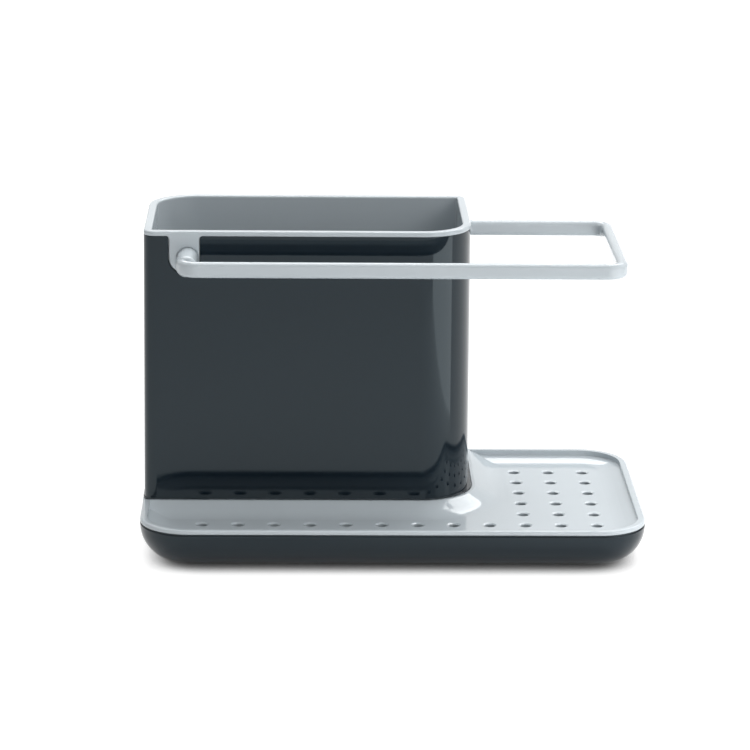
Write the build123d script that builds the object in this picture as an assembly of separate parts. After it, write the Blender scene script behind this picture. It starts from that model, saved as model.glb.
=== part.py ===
from build123d import *

import os

# Sizes in millimetres. X runs right, Y to the rear, Z up; the origin is under the middle of the tray.
overall_height = 131.4
overrun = 1.0

# Drip tray, with its drains
tray_length = 205.0
tray_depth = 116.0
tray_corner = 20.0
tray_thickness = 1.8
lip_width = 3.0
lip_height = 1.7
lip_edge = 1.0
lip_step = 2.1
slope_run = 6.8
slope_drop = 1.9
slope_foot_radius = 18.0
skirt_gap = 0.35
drain_mouth = 5.8
drain_diameter = 4.2
drain_sink = 0.45
drain_pitch = 14.6
drain_right_inset = 19.4
drain_front_inset = 20.7
drain_margin = 4.5

# Bowl under the tray
base_height = 16.1
base_wall = 1.7
base_floor = 2.0
base_band = 1.2
seam_groove_height = 0.9
seam_groove_depth = 0.5

# Feet under the bowl
foot_diameter = 11.0
foot_standout = 1.0
foot_socket_depth = 0.9
foot_fit = 0.05
foot_edge = 0.4
foot_inset = 9.0

# Tub, placed by the widths of open tray beside it
dish_width = 70.2
strip_width = 42.2
tub_edge_inset = 0.5
tub_flare = 0.6
tub_wall = 1.8
tub_floor = 2.2
large_corner = 20.0
small_corner = 4.6
bead_height = 1.0
bead_front_standout = 0.9
bead_side_standout = 1.6
bead_edge = 0.4
bead_gap = 0.4

# Seat of the tub in the tray
seat_recess = 0.9
land_width = 1.3
ramp_run = 9.0
window_inset = 12.0
window_corner = 5.0
plug_gap = 0.4
plug_wall = 1.6
plug_drop = 2.6
slot_rows = 2
slot_width = 3.2
slot_pitch = 9.0
slot_margin = 4.0

# Insert: rim, skirt and the two tabs that carry the rail
rim_width = 3.4
rim_height = 1.9
rim_edge = 0.8
insert_gap = 0.3
skirt_depth = 30.0
tab_width = 12.3
tab_fillet = 1.6
tab_gap = 0.25
tab_bevel = 0.3
ring_width = 0.3
ring_depth = 0.4

# Cloth rail, with its section and its axis
rail_width = 4.4
rail_height = 6.4
rail_corner = 2.0
rail_bend = 6.2
rail_drop = 11.0
rail_front_reach = 20.4
rail_right_reach = 61.5
rail_rear_inset = 13.4
post_diameter = 8.6
post_inset = 17.9
post_bend_offset = 1.8
post_end_gap = 1.4
post_edge = 1.8
tab_shift = 1.4
front_spigot_diameter = 5.4
front_spigot_length = 2.4
rear_spigot_diameter = 4.0
rear_spigot_length = 2.6
spigot_gap = 0.1
bore_relief = 0.2
collar_length = 2.8
collar_foot_diameter = 7.4
collar_tip_diameter = 4.2

# Heights worked out from the sizes above
base_bottom = foot_standout
seam = base_bottom + base_height
base_edge_radius = base_height - base_band
lip_top = seam + lip_height
slope_top = lip_top - lip_step
tray_floor = slope_top - slope_drop
seat = lip_top - seat_recess
tub_top = overall_height - rim_height
rail_axis = overall_height - rail_drop


class Plan:
    """A rectangle seen from above, with a radius of its own at each corner."""

    def __init__(self, left, right, front, rear, radii):
        self.left, self.right, self.front, self.rear = left, right, front, rear
        self.radii = radii

    def inset(self, gap):
        radii = [radius - gap for radius in self.radii]
        return Plan(self.left + gap, self.right - gap, self.front + gap, self.rear - gap, radii)

    def face(self, height):
        places = [
            (self.left, self.front),
            (self.right, self.front),
            (self.right, self.rear),
            (self.left, self.rear),
        ]
        middle = Pos((self.left + self.right) / 2, (self.front + self.rear) / 2, height)
        face = middle * Rectangle(self.right - self.left, self.rear - self.front)
        for (x, y), radius in zip(places, self.radii):
            corner = min(face.vertices(), key=lambda v: abs(v.X - x) + abs(v.Y - y))
            face = fillet(corner, radius)
        return face

    def block(self, bottom, top):
        return extrude(self.face(bottom), top - bottom)


def taper(low_plan, low, high_plan, high):
    """A solid whose outline changes evenly from one height to another."""
    return loft([low_plan.face(low), high_plan.face(high)], ruled=True)


def upright_disc(plane, height, radius, start, end):
    """A cylinder square to a wall, from one depth behind its face to another."""
    middle = Pos(0, height, (start + end) / 2)
    return plane.location * middle * Cylinder(radius, end - start)


# Outlines worked out from the sizes above
half_length = tray_length / 2
half_depth = tray_depth / 2
tray_plan = Plan(-half_length, half_length, -half_depth, half_depth, [tray_corner] * 4)

tub_left = -half_length + tub_edge_inset
tub_right = half_length - dish_width
tub_rear = half_depth - tub_edge_inset
tub_front = -half_depth + strip_width
top_radii = [small_corner, large_corner, small_corner, large_corner]
foot_radii = [radius + tub_flare for radius in top_radii]
foot_plan = Plan(tub_left, tub_right, tub_front, tub_rear, foot_radii)
top_plan = foot_plan.inset(tub_flare)
skirt_plan = top_plan.inset(tub_wall + insert_gap)
mouth_plan = top_plan.inset(rim_width)

window_plan = Plan(
    tub_left + window_inset,
    tub_right - window_inset,
    tub_front + window_inset,
    tub_rear - window_inset,
    [window_corner] * 4,
)

# The rail's places, from the tub's rim
post_x = top_plan.left + post_inset
tab_x = post_x - tab_shift
rear_arm_y = top_plan.rear - rail_rear_inset
front_arm_y = top_plan.front - rail_front_reach
right_arm_x = top_plan.right + rail_right_reach - rail_width / 2
left_bend_x = post_x - post_bend_offset
front_wall = Plane(origin=(tab_x, top_plan.front, 0), x_dir=(-1, 0, 0), z_dir=(0, 1, 0))
post_wall = Plane(origin=(post_x, top_plan.front, 0), x_dir=(-1, 0, 0), z_dir=(0, 1, 0))
right_wall = Plane(origin=(top_plan.right, rear_arm_y, 0), x_dir=(0, -1, 0), z_dir=(-1, 0, 0))


def bead_plan(gap):
    """The tub's foot bead, flush with the tray's left and rear edges, grown by a gap on the others."""
    side = bead_side_standout + gap
    front = bead_front_standout + gap
    radii = [radius + side for radius in foot_radii]
    radii[3] = tray_corner
    return Plan(tray_plan.left, tub_right + side, tub_front - front, tray_plan.rear, radii)


def feet():
    """Four soft feet, each pressed into a socket under the bowl."""
    x = half_length - base_edge_radius - foot_inset
    y = half_depth - base_edge_radius - foot_inset
    places = {
        "foot_front_left": (-x, -y),
        "foot_front_right": (x, -y),
        "foot_rear_left": (-x, y),
        "foot_rear_right": (x, y),
    }
    height = foot_standout + foot_socket_depth
    pad = Pos(0, 0, height / 2) * Cylinder(foot_diameter / 2, height)
    pad = fillet(pad.edges().group_by(Axis.Z)[0], foot_edge)
    return {name: (place, Pos(*place, 0) * pad) for name, place in places.items()}


def reservoir_base(foot_places):
    """The bowl that catches the water, with a quarter-round lower edge and a thin groove at its seam."""
    outside = tray_plan.block(base_bottom, seam)
    outside = fillet(outside.edges().group_by(Axis.Z)[0], base_edge_radius)
    floor = base_bottom + base_floor
    hollow = tray_plan.inset(base_wall).block(floor, seam + overrun)
    hollow = fillet(hollow.edges().group_by(Axis.Z)[0], base_edge_radius - base_wall)
    groove_bottom = seam - seam_groove_height
    groove = tray_plan.inset(-overrun).block(groove_bottom, seam + overrun)
    groove -= tray_plan.inset(seam_groove_depth).block(groove_bottom, seam + overrun)
    bowl = outside - hollow - groove
    socket_height = foot_socket_depth + overrun
    socket_middle = base_bottom + foot_socket_depth - socket_height / 2
    for x, y in foot_places:
        socket = Cylinder(foot_diameter / 2 + foot_fit, socket_height)
        bowl -= Pos(x, y, socket_middle) * socket
    return bowl


def tray_pocket(seat_block):
    """The space above the tray's floor and slopes, up to the lip, round the raised seat."""
    mouth = tray_plan.inset(lip_width)
    bottom = tray_plan.inset(lip_width + slope_run)
    pocket = taper(bottom, tray_floor, mouth, slope_top)
    pocket += mouth.block(slope_top, lip_top + overrun)
    pocket -= seat_block
    floor = pocket.faces().sort_by(Axis.Z)[0]
    return fillet(floor.edges(), slope_foot_radius)


def seat_outline(extra):
    """The raised seat's outline: past the tray at the left and rear, a land round the bead elsewhere."""
    around = bead_plan(bead_gap + land_width + extra)
    radii = [radius + extra for radius in bead_plan(bead_gap + land_width).radii]
    return Plan(
        tray_plan.left - tray_corner - extra,
        around.right,
        around.front,
        tray_plan.rear + tray_corner + extra,
        radii,
    )


def drip_tray():
    """The lipped tray: a thin basin with a hollow raised seat for the tub and a field of drains."""
    ramp_foot = seat_outline(ramp_run)
    seat_block = taper(ramp_foot, tray_floor, seat_outline(0), lip_top)
    seat_block += seat_outline(0).block(lip_top, lip_top + 2 * overrun)
    pocket = tray_pocket(seat_block)

    ring = tray_plan.block(seam, lip_top)
    ring = fillet(ring.edges().group_by(Axis.Z)[-1], lip_edge)
    skirt_inset = base_wall + skirt_gap
    underside = tray_floor - tray_thickness
    shell_foot = tray_plan.inset(lip_width + slope_run - tray_thickness / 2)
    shell = taper(shell_foot, underside, tray_plan.inset(skirt_inset), slope_top - tray_thickness)
    shell += tray_plan.inset(skirt_inset).block(slope_top - tray_thickness, lip_top)
    tray = ring + shell - pocket

    # The hollow under the seat follows the ramp and the tray's outer walls
    ceiling = seat - tray_thickness
    hollow = taper(seat_outline(ramp_run), underside, seat_outline(0), ceiling)
    hollow += seat_outline(ramp_run).block(underside - overrun, underside)
    wall_foot = tray_plan.inset(lip_width + slope_run + tray_thickness / 2)
    wall_top = tray_plan.inset(skirt_inset + tray_thickness)
    bounds = taper(wall_foot, underside, wall_top, slope_top - tray_thickness)
    bounds += wall_top.block(slope_top - tray_thickness, ceiling + overrun)
    bounds += wall_foot.block(underside - 2 * overrun, underside)
    tray -= hollow & bounds

    recess = bead_plan(bead_gap)
    recess = Plan(
        tray_plan.left - tray_corner,
        recess.right,
        recess.front,
        tray_plan.rear + tray_corner,
        recess.radii,
    )
    tray -= recess.block(seat, lip_top + overrun)
    tray -= window_plan.block(underside, lip_top)
    return tray - drains()


def drain_places():
    """The drains' middles: a row along the front and more rows behind its right-hand end."""
    floor = tray_plan.inset(lip_width + slope_run + drain_margin)
    right = half_length - drain_right_inset
    front = drain_front_inset - half_depth
    front_row = 1 + int((right - floor.left) // drain_pitch)
    rows = 1 + int((floor.rear - front) // drain_pitch)
    columns = 1 + int((right - seat_outline(ramp_run + drain_margin).right) // drain_pitch)
    places = [(right - drain_pitch * column, front) for column in range(front_row)]
    for row in range(1, rows):
        for column in range(columns):
            places.append((right - drain_pitch * column, front + drain_pitch * row))
    return places


def drains():
    """Holes through the tray's floor, each with a cone sunk round its mouth."""
    hole = Cylinder(drain_diameter / 2, 2 * tray_thickness + overrun)
    cone = Cone(drain_diameter / 2, drain_mouth / 2, drain_sink)
    hole += Pos(0, 0, -drain_sink / 2) * cone
    return [Pos(x, y, tray_floor) * hole for x, y in drain_places()]


def tab_face(gap):
    """A tab seen square to its wall: a round-ended tongue with fillets where it meets the rim."""
    half_width = tab_width / 2 + gap
    corner = tab_fillet - gap
    tongue_height = tub_top - rail_axis
    face = Pos(0, rail_axis) * Circle(half_width)
    face += Pos(0, rail_axis + tongue_height / 2) * Rectangle(2 * half_width, tongue_height)
    bar_width = 2 * (half_width + 2 * corner)
    face += Pos(0, tub_top + rim_height / 4) * Rectangle(bar_width, rim_height / 2)
    for side in (-half_width, half_width):
        root = min(face.vertices(), key=lambda v: abs(v.X - side) + abs(v.Y - tub_top))
        face = fillet(root, corner)
    return face


def tab(plane):
    """A tab in the thickness of the tub's wall, as deep as the skirt behind it, with a bevelled face."""
    tongue = extrude(plane.location * tab_face(0), tub_wall + insert_gap)
    face_edges = [
        edge
        for edge in tongue.edges()
        if abs(plane.to_local_coords(edge.center()).Z) < tab_bevel / 2
        and edge.center().Z < tub_top - tab_bevel
    ]
    tongue = chamfer(face_edges, tab_bevel)
    pad = upright_disc(plane, rail_axis, tab_width / 2, tub_wall, rim_width)
    stem_height = tub_top - rail_axis
    stem = Pos(0, rail_axis + stem_height / 2, (tub_wall + rim_width) / 2)
    stem = plane.location * stem * Box(tab_width, stem_height, rim_width - tub_wall)
    return tongue + pad + stem


def insert_frame():
    """The rim on the tub's edge, its skirt inside, and the tabs with bores for the rail's ends."""
    rim = top_plan.block(tub_top, overall_height) - mouth_plan.block(tub_top - overrun, overall_height + overrun)
    rim = fillet(rim.edges().group_by(Axis.Z)[-1], rim_edge)
    skirt_bottom = tub_top - skirt_depth
    skirt = skirt_plan.block(skirt_bottom, overall_height - rim_edge)
    skirt -= mouth_plan.block(skirt_bottom - overrun, overall_height + overrun)
    frame = rim + skirt + tab(front_wall) + tab(right_wall)

    post_seat = post_diameter / 2 + ring_width
    frame -= upright_disc(post_wall, rail_axis, post_seat, -overrun, ring_depth)
    front_bore = front_spigot_diameter / 2 + spigot_gap
    front_bore_end = ring_depth + front_spigot_length + bore_relief
    frame -= upright_disc(post_wall, rail_axis, front_bore, -overrun, front_bore_end)
    rear_bore = rear_spigot_diameter / 2 + spigot_gap
    rear_bore_end = rear_spigot_length + bore_relief
    frame -= upright_disc(right_wall, rail_axis, rear_bore, -overrun, rear_bore_end)
    return frame


def caddy_tub():
    """The tall tub: it widens a little to a beaded foot and has notches for the insert's tabs."""
    tub = taper(foot_plan, seat, top_plan, tub_top)
    bead = bead_plan(0).block(seat, seat + bead_height)
    tub += fillet(bead.edges().group_by(Axis.Z)[-1], bead_edge)
    floor = seat + tub_floor
    tub -= top_plan.inset(tub_wall).block(floor, tub_top + overrun)
    for plane in (front_wall, right_wall):
        notch = extrude((plane.offset(-tub_wall)).location * tab_face(tab_gap), 2 * tub_wall + insert_gap)
        tub -= notch
    plug = window_plan.inset(plug_gap)
    plug_ring = plug.block(seat - plug_drop, seat + overrun)
    plug_ring -= plug.inset(plug_wall).block(seat - plug_drop - overrun, seat + 2 * overrun)
    tub += plug_ring
    return tub - drain_slots()


def drain_slots():
    """Rows of slots through the tub's floor, inside the plug."""
    room = window_plan.inset(plug_gap + plug_wall)
    columns = int((room.right - room.left - slot_margin) // slot_pitch)
    row_pitch = (room.rear - room.front - slot_margin) / slot_rows
    slots = []
    for column in range(columns):
        for row in range(slot_rows):
            x = (room.left + room.right) / 2 + (column - (columns - 1) / 2) * slot_pitch
            y = (room.front + room.rear) / 2 + (row - (slot_rows - 1) / 2) * row_pitch
            outline = SlotOverall(row_pitch - slot_margin, slot_width, rotation=90)
            slots.append(extrude(Pos(x, y, seat - overrun) * outline, tub_floor + 2 * overrun))
    return slots


def rail_path():
    """The bar's axis: from the post along the front, round the right-hand end and back to the tub."""
    start_y = front_arm_y + rail_bend + overrun
    points = [
        (left_bend_x, start_y, rail_axis),
        (left_bend_x, front_arm_y, rail_axis),
        (right_arm_x, front_arm_y, rail_axis),
        (right_arm_x, rear_arm_y, rail_axis),
        (top_plan.right, rear_arm_y, rail_axis),
    ]
    return FilletPolyline(*points, radius=rail_bend)


def cloth_rail():
    """The bent bar with its thick front post, its rear collar and a spigot at each end."""
    path = rail_path()
    section = Plane(origin=path @ 0, x_dir=(1, 0, 0), z_dir=path % 0)
    profile = section * RectangleRounded(rail_width, rail_height, rail_corner)
    bar = sweep(profile, path)
    post_end = rail_front_reach - rail_width / 2 - post_end_gap
    post = upright_disc(post_wall, rail_axis, post_diameter / 2, -post_end, ring_depth)
    post = fillet(post.edges().group_by(Axis.Y)[0], post_edge)
    front_spigot_end = ring_depth + front_spigot_length
    front = upright_disc(post_wall, rail_axis, front_spigot_diameter / 2, 0, front_spigot_end)
    rear = upright_disc(right_wall, rail_axis, rear_spigot_diameter / 2, -overrun, rear_spigot_length)
    collar = Cone(collar_tip_diameter / 2, collar_foot_diameter / 2, collar_length)
    collar = right_wall.location * Pos(0, rail_axis, -collar_length / 2) * collar
    return bar + post + front + rear + collar


pads = feet()
nodes = {name: pad for name, (place, pad) in pads.items()}
nodes["reservoir_base"] = reservoir_base([place for place, pad in pads.values()])
nodes["drip_tray"] = drip_tray()
nodes["caddy_tub"] = caddy_tub()
nodes["insert_frame"] = insert_frame()
nodes["cloth_rail"] = cloth_rail()

os.makedirs("parts", exist_ok=True)
for name, shape in nodes.items():
    export_step(shape, f"parts/{name}.step")
    print(name, "volume", round(shape.volume), "solids", len(shape.solids()))
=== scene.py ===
import math

import bpy
from mathutils import Matrix, Vector


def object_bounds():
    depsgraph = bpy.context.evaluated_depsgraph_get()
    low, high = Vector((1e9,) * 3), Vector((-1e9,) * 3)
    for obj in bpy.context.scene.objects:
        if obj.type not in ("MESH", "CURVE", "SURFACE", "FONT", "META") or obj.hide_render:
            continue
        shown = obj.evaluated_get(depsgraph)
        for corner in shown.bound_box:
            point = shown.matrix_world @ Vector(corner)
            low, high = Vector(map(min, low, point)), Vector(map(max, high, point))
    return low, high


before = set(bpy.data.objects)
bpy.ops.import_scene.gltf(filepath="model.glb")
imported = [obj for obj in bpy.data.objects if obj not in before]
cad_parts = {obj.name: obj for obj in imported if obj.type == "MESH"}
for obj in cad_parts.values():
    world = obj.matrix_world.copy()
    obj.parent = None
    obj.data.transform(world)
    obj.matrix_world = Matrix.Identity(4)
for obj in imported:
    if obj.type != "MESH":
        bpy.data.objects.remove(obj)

cad_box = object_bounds()

# Camera: place in metres and angles in degrees, for a square picture
CAMERA_PLACE = (-0.03768, -1.25279, 0.41239)
CAMERA_YAW = 1.4037
CAMERA_PITCH = 15.3843
CAMERA_ROLL = 0.6064
CAMERA_LENS = 150.959
CAMERA_SENSOR = 36.0
CAMERA_NEAR = 0.05
CAMERA_FAR = 30.0

# Plain colours, linear
CHARCOAL = (0.002, 0.006, 0.011)
CHARCOAL_SHEEN = (0.8, 0.94, 1.0)
LIGHT_GREY = (0.525, 0.58, 0.615)
RUBBER = (0.018, 0.018, 0.019)
WHITE = (1.0, 1.0, 1.0)
BLACK = (0.0, 0.0, 0.0)

# A BAND holds the two ends between which a noise or a measure is read. FULL runs from none to all
FULL = (0.0, 1.0)

# The plastic's flow marks and light specks. All noise scales are for an object measured in metres
FLOW_SCALE = 26.0
FLOW_STRETCH = (1.0, 1.0, 0.35)
FLOW_BAND = (0.3, 0.7)
SPECK_SCALE = 1400.0
SPECK_BAND = (0.66, 0.78)
SPECK_SHARE = 0.35
SPECK_LIGHTER = 3.0

# Its rubbed edges: their radius in metres, the cosine of the turn across them, and patchy wear
EDGE_RADIUS = 0.0005
EDGE_TURN_BAND = (0.995, 0.86)
EDGE_ROUGHER = 0.12
WEAR_SCALE = 180.0
WEAR_BAND = (0.4, 0.72)
WEAR_SHARES = (0.1, 0.7)

# Its cloudy haze and wiping streaks, which are read together
HAZE_SCALE = 60.0
WIPE_SCALE = 190.0
WIPE_STRETCH = (0.25, 1.0, 1.6)
HAZE_BAND = (0.7, 1.35)
HAZE_ROUGHER = 1.7

# Its slow ripple, with the depth in metres, and the fine grain as a share of the ripple
RIPPLE_SCALE = 34.0
RIPPLE_DEPTH = 0.001
GRAIN_SCALE = 900.0
GRAIN_SHARE = 0.05

# The rubber: a dusty bloom, a fine grain with its depth in metres, and the index of refraction
BLOOM_SCALE = 320.0
BLOOM_BAND = (0.35, 0.7)
BLOOM_LIGHTER = 2.2
RUBBER_GRAIN_SCALE = 2400.0
RUBBER_GRAIN_STRENGTH = 0.35
RUBBER_GRAIN_DEPTH = 0.0001
RUBBER_ROUGH = (0.72, 0.9)
RUBBER_IOR = 1.5

# The floor: its half width and its gap under the object in metres, and its faintly uneven white
FLOOR_HALF = 6.0
FLOOR_GAP = 0.0001
FLOOR_SHADE_SCALE = 3.0
FLOOR_SHADE_BAND = (0.3, 0.7)
FLOOR_SHADES = (0.86, 0.9)

# The floor as it is seen: a share lit by the lamps, a glow, the share of the glow that a gloss shows,
# and a painted contact shadow that dims the glow near the object: how open a place has to be
# to glow, from not at all to fully, with the reach in metres
FLOOR_LIT_SHARE = 0.3
FLOOR_GLOW = 0.92
MIRROR_SHARE = 0.4
FLOOR_PAINTED_SHADOW_REACH = 0.014
FLOOR_PAINTED_SHADOW_BAND = (0.08, 0.53)

# The world's strength as diffuse light, and where it is seen or mirrored
WORLD_LIGHT = 0.08
WORLD_SEEN = 1.0

# What all lamps but the near one are turned to
MIDDLE = (0.0, 0.0, 0.06)


class Nodes:
    """The node tree of a material or the world, with short helpers for adding and joining nodes."""

    def __init__(self, owner):
        self.owner = owner
        self.owner.use_nodes = True
        self.tree = self.owner.node_tree
        self.tree.nodes.clear()

    def add(self, kind, settings=None, inputs=None):
        node = self.tree.nodes.new(kind)
        for key, value in (settings or {}).items():
            setattr(node, key, value)
        for key, value in (inputs or {}).items():
            self.feed(node.inputs[key], value)
        return node

    def feed(self, socket, value):
        """Link another node's output to a socket, or set the socket's own value."""
        if isinstance(value, bpy.types.NodeSocket):
            self.tree.links.new(value, socket)
        elif socket.type == "RGBA" and len(value) == 3:
            socket.default_value = (*value, 1.0)
        else:
            socket.default_value = value

    def place(self):
        """The place on the object, in the object's own frame."""
        return self.add("ShaderNodeTexCoord").outputs["Object"]

    def stretched(self, place, scale):
        return self.add("ShaderNodeMapping", inputs={"Vector": place, "Scale": scale}).outputs["Vector"]

    def noise(self, place, scale, detail, rough):
        inputs = {"Vector": place, "Scale": scale, "Detail": detail, "Roughness": rough}
        return self.add("ShaderNodeTexNoise", {"noise_dimensions": "3D"}, inputs).outputs["Fac"]

    def remap(self, value, band, result):
        """Turn a band of values into a range of results, which holds its ends outside the band."""
        low, high = band
        to_low, to_high = result
        inputs = {"Value": value, "From Min": low, "From Max": high, "To Min": to_low, "To Max": to_high}
        return self.add("ShaderNodeMapRange", {"clamp": True}, inputs).outputs["Result"]

    def mix(self, factor, a, b):
        """Mix two colours. The node has its factor at 0, its colours at 6 and 7, and the mix at 2."""
        node = self.add("ShaderNodeMix", {"data_type": "RGBA"}, {0: factor, 6: a, 7: b})
        return node.outputs[2]

    def math(self, operation, a, b):
        return self.add("ShaderNodeMath", {"operation": operation}, {0: a, 1: b}).outputs[0]

    def dot(self, a, b):
        node = self.add("ShaderNodeVectorMath", {"operation": "DOT_PRODUCT"}, {0: a, 1: b})
        return node.outputs["Value"]

    def rays(self):
        """Two switches: for rays from the camera, and for rays that a gloss or a clear thing sends on."""
        path = self.add("ShaderNodeLightPath").outputs
        mirrored = self.math("MAXIMUM", path["Is Glossy Ray"], path["Is Transmission Ray"])
        return path["Is Camera Ray"], mirrored

    def plain_shader(self, colour, rough, ior, normal, sheen=WHITE):
        inputs = {
            "Base Color": colour,
            "Roughness": rough,
            "IOR": ior,
            "Specular Tint": sheen,
            "Normal": normal,
        }
        return self.add("ShaderNodeBsdfPrincipled", inputs=inputs).outputs["BSDF"]

    def finish(self, surface, output="ShaderNodeOutputMaterial"):
        self.add(output, inputs={"Surface": surface})
        return self.owner


def tint(colour, factor):
    return tuple(min(1.0, channel * factor) for channel in colour)


def flow_and_specks(n, place, colour, spread):
    """The plastic's colour: faint flow marks and a few lighter specks."""
    flow = n.noise(n.stretched(place, FLOW_STRETCH), FLOW_SCALE, detail=4.0, rough=0.55)
    flowing = n.mix(n.remap(flow, FLOW_BAND, FULL), tint(colour, 1.0 - spread), tint(colour, 1.0 + spread))
    speck = n.noise(place, SPECK_SCALE, detail=2.0, rough=0.6)
    specks = n.remap(speck, SPECK_BAND, (0.0, SPECK_SHARE))
    return n.mix(specks, flowing, tint(colour, 1.0 + SPECK_LIGHTER * spread))


def rubbed_edges(n, place, bevel):
    """How rubbed a place is: an edge, where the rounded normal leaves the plain one, worn in patches."""
    plain = n.add("ShaderNodeNewGeometry").outputs["Normal"]
    edge = n.remap(n.dot(bevel, plain), EDGE_TURN_BAND, FULL)
    worn = n.remap(n.noise(place, WEAR_SCALE, detail=3.0, rough=0.6), WEAR_BAND, WEAR_SHARES)
    return n.math("MULTIPLY", edge, worn)


def haze_and_streaks(n, place, gloss):
    """The plastic's roughness: a cloudy haze and wiping streaks."""
    haze = n.noise(place, HAZE_SCALE, detail=4.0, rough=0.6)
    streak = n.noise(n.stretched(place, WIPE_STRETCH), WIPE_SCALE, detail=3.0, rough=0.55)
    return n.remap(n.math("ADD", haze, streak), HAZE_BAND, (gloss, gloss * HAZE_ROUGHER))


def rippled_normal(n, place, bevel, ripple):
    """The plastic's surface: rounded edges, a slow ripple and a fine grain."""
    slow = n.noise(place, RIPPLE_SCALE, detail=2.0, rough=0.4)
    fine = n.noise(place, GRAIN_SCALE, detail=2.0, rough=0.5)
    height = n.math("ADD", n.math("MULTIPLY", slow, ripple), n.math("MULTIPLY", fine, ripple * GRAIN_SHARE))
    inputs = {"Height": height, "Strength": 1.0, "Distance": RIPPLE_DEPTH, "Normal": bevel}
    return n.add("ShaderNodeBump", inputs=inputs).outputs["Normal"]


def moulded_plastic(name, colour, sheen, gloss, ior, spread, ripple, edge_colour):
    """Polished moulded plastic: flow marks, haze, a slow surface ripple and rubbed edges, all faint."""
    n = Nodes(bpy.data.materials.new(name))
    place = n.place()
    bevel = n.add("ShaderNodeBevel", {"samples": 4}, {"Radius": EDGE_RADIUS}).outputs["Normal"]
    rubbed = rubbed_edges(n, place, bevel)
    base = n.mix(rubbed, flow_and_specks(n, place, colour, spread), edge_colour)
    rough = n.math("ADD", haze_and_streaks(n, place, gloss), n.math("MULTIPLY", rubbed, EDGE_ROUGHER))
    return n.finish(n.plain_shader(base, rough, ior, rippled_normal(n, place, bevel, ripple), sheen))


def soft_rubber(name, colour):
    """Matte rubber with a fine grain and a dusty bloom."""
    n = Nodes(bpy.data.materials.new(name))
    place = n.place()
    bloom = n.remap(n.noise(place, BLOOM_SCALE, detail=4.0, rough=0.6), BLOOM_BAND, FULL)
    base = n.mix(bloom, colour, tint(colour, BLOOM_LIGHTER))
    grain = n.noise(place, RUBBER_GRAIN_SCALE, detail=2.0, rough=0.5)
    inputs = {"Height": grain, "Strength": RUBBER_GRAIN_STRENGTH, "Distance": RUBBER_GRAIN_DEPTH}
    normal = n.add("ShaderNodeBump", inputs=inputs).outputs["Normal"]
    return n.finish(n.plain_shader(base, n.remap(bloom, FULL, RUBBER_ROUGH), RUBBER_IOR, normal))


def floor_material():
    """White paper-like floor that reads white to the camera and still takes the lamps' shadow, with a
    painted contact shadow that dims its glow close to the object.
    """
    n = Nodes(bpy.data.materials.new("studio_floor"))
    seen, mirrored = n.rays()
    uneven = n.noise(n.place(), FLOOR_SHADE_SCALE, detail=2.0, rough=0.5)
    shade = n.remap(uneven, FLOOR_SHADE_BAND, FLOOR_SHADES)
    lit_share = n.remap(seen, FULL, (1.0, FLOOR_LIT_SHARE))
    base = n.mix(n.math("MULTIPLY", shade, lit_share), BLACK, WHITE)
    diffuse = n.add("ShaderNodeBsdfDiffuse", inputs={"Color": base})
    glow_share = n.math("MAXIMUM", seen, n.math("MULTIPLY", mirrored, MIRROR_SHARE))
    # Painted contact shadow: the glow, seen straight and in reflections, is dimmed where the object closes
    # in on the floor
    painted_shadow_occlusion = n.add("ShaderNodeAmbientOcclusion", {"samples": 8}, {"Distance": FLOOR_PAINTED_SHADOW_REACH})
    glow_with_painted_shadow = n.remap(painted_shadow_occlusion.outputs["AO"], FLOOR_PAINTED_SHADOW_BAND, (0.0, FLOOR_GLOW))
    strength = n.math("MULTIPLY", glow_share, glow_with_painted_shadow)
    glow = n.add("ShaderNodeEmission", inputs={"Color": WHITE, "Strength": strength})
    both = n.add("ShaderNodeAddShader", inputs={0: diffuse.outputs["BSDF"], 1: glow.outputs["Emission"]})
    return n.finish(both.outputs["Shader"])


def dress(node_names, material):
    for name in node_names:
        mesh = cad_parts[name].data
        for index in range(len(mesh.materials)):
            mesh.materials[index] = material


def add_floor():
    """A large flat floor just under the object's lowest point."""
    half = FLOOR_HALF
    mesh = bpy.data.meshes.new("studio_floor")
    corners = [(-half, -half, 0.0), (half, -half, 0.0), (half, half, 0.0), (-half, half, 0.0)]
    mesh.from_pydata(corners, [], [(0, 1, 2, 3)])
    floor = bpy.data.objects.new("studio_floor", mesh)
    floor.location.z = cad_box[0].z - FLOOR_GAP
    bpy.context.scene.collection.objects.link(floor)
    mesh.materials.append(floor_material())


def add_area(name, place, target, width, height, watts):
    """A soft rectangular lamp at a place, turned to a target."""
    lamp = bpy.data.lights.new(name, "AREA")
    lamp.shape = "RECTANGLE"
    lamp.size = width
    lamp.size_y = height
    lamp.energy = watts
    item = bpy.data.objects.new(name, lamp)
    item.location = place
    item.rotation_euler = (Vector(target) - Vector(place)).to_track_quat("-Z", "Y").to_euler()
    bpy.context.scene.collection.objects.link(item)


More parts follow.
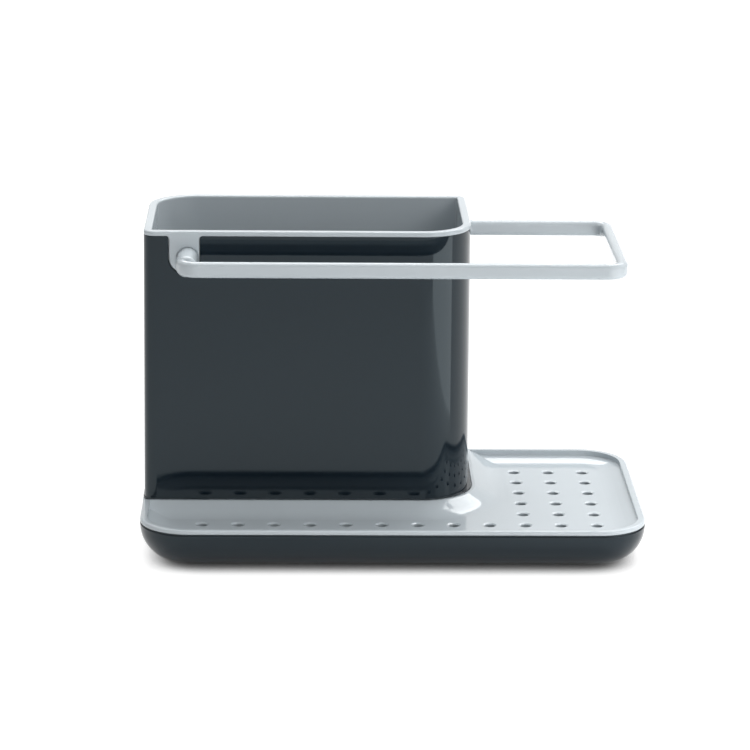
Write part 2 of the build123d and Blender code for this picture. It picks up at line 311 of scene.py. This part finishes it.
def add_lamps():
    """The lamps, each with its place, target, width and height in metres, and its watts."""
    add_area("back_light", (0.2, 1.25, 1.7), MIDDLE, 2.1, 1.5, 41.0)
    add_area("top_light", (0.0, 0.0, 1.6), MIDDLE, 1.2, 1.2, 10.0)
    add_area("left_light", (-1.1, 0.0, 1.0), MIDDLE, 0.9, 0.9, 2.0)
    add_area("front_light", (0.0, -1.6, 0.3), MIDDLE, 0.9, 0.5, 2.5)
    add_area("front_right_light", (0.9, -0.8, 0.9), MIDDLE, 0.7, 0.7, 4.5)
    add_area("right_light", (1.5, 0.0, 0.65), MIDDLE, 1.6, 1.2, 6.0)

    # This one stands on the floor past the picture's right edge and lights the tub's rounded corner
    add_area("near_right_light", (0.21, -0.24, 0.05), (0.0, -0.24, 0.05), 0.36, 0.1, 0.2)


def add_world():
    """White surroundings, dimmer for the diffuse light that they give than where they are seen."""
    n = Nodes(bpy.data.worlds.new("studio"))
    seen, mirrored = n.rays()
    strength = n.remap(n.math("MAXIMUM", seen, mirrored), FULL, (WORLD_LIGHT, WORLD_SEEN))
    background = n.add("ShaderNodeBackground", inputs={"Color": WHITE, "Strength": strength})
    bpy.context.scene.world = n.finish(background.outputs["Background"], "ShaderNodeOutputWorld")


def add_camera():
    data = bpy.data.cameras.new("photo_view")
    data.lens = CAMERA_LENS
    data.sensor_width = CAMERA_SENSOR
    data.clip_start = CAMERA_NEAR
    data.clip_end = CAMERA_FAR
    camera = bpy.data.objects.new("photo_view", data)
    turn = Matrix.Rotation(-math.radians(CAMERA_YAW), 4, "Z")
    turn = turn @ Matrix.Rotation(math.radians(90.0 - CAMERA_PITCH), 4, "X")
    turn = turn @ Matrix.Rotation(math.radians(CAMERA_ROLL), 4, "Z")
    camera.matrix_world = Matrix.Translation(CAMERA_PLACE) @ turn
    bpy.context.scene.collection.objects.link(camera)
    bpy.context.scene.camera = camera


charcoal = moulded_plastic(
    "charcoal_gloss",
    CHARCOAL,
    sheen=CHARCOAL_SHEEN,
    gloss=0.05,
    ior=1.44,
    spread=0.06,
    ripple=0.02,
    edge_colour=tint(CHARCOAL, 3.0),
)
light_grey = moulded_plastic(
    "light_grey_gloss",
    LIGHT_GREY,
    sheen=WHITE,
    gloss=0.05,
    ior=1.5,
    spread=0.012,
    ripple=0.015,
    edge_colour=tint(LIGHT_GREY, 1.12),
)
rubber = soft_rubber("foot_rubber", RUBBER)
feet = [f"foot_{end}_{side}" for end in ("front", "rear") for side in ("left", "right")]
dress(["reservoir_base", "caddy_tub"], charcoal)
dress(["drip_tray", "insert_frame", "cloth_rail"], light_grey)
dress(feet, rubber)

add_camera()
add_floor()
add_world()
add_lamps()

bpy.context.scene.view_settings.view_transform = "Standard"
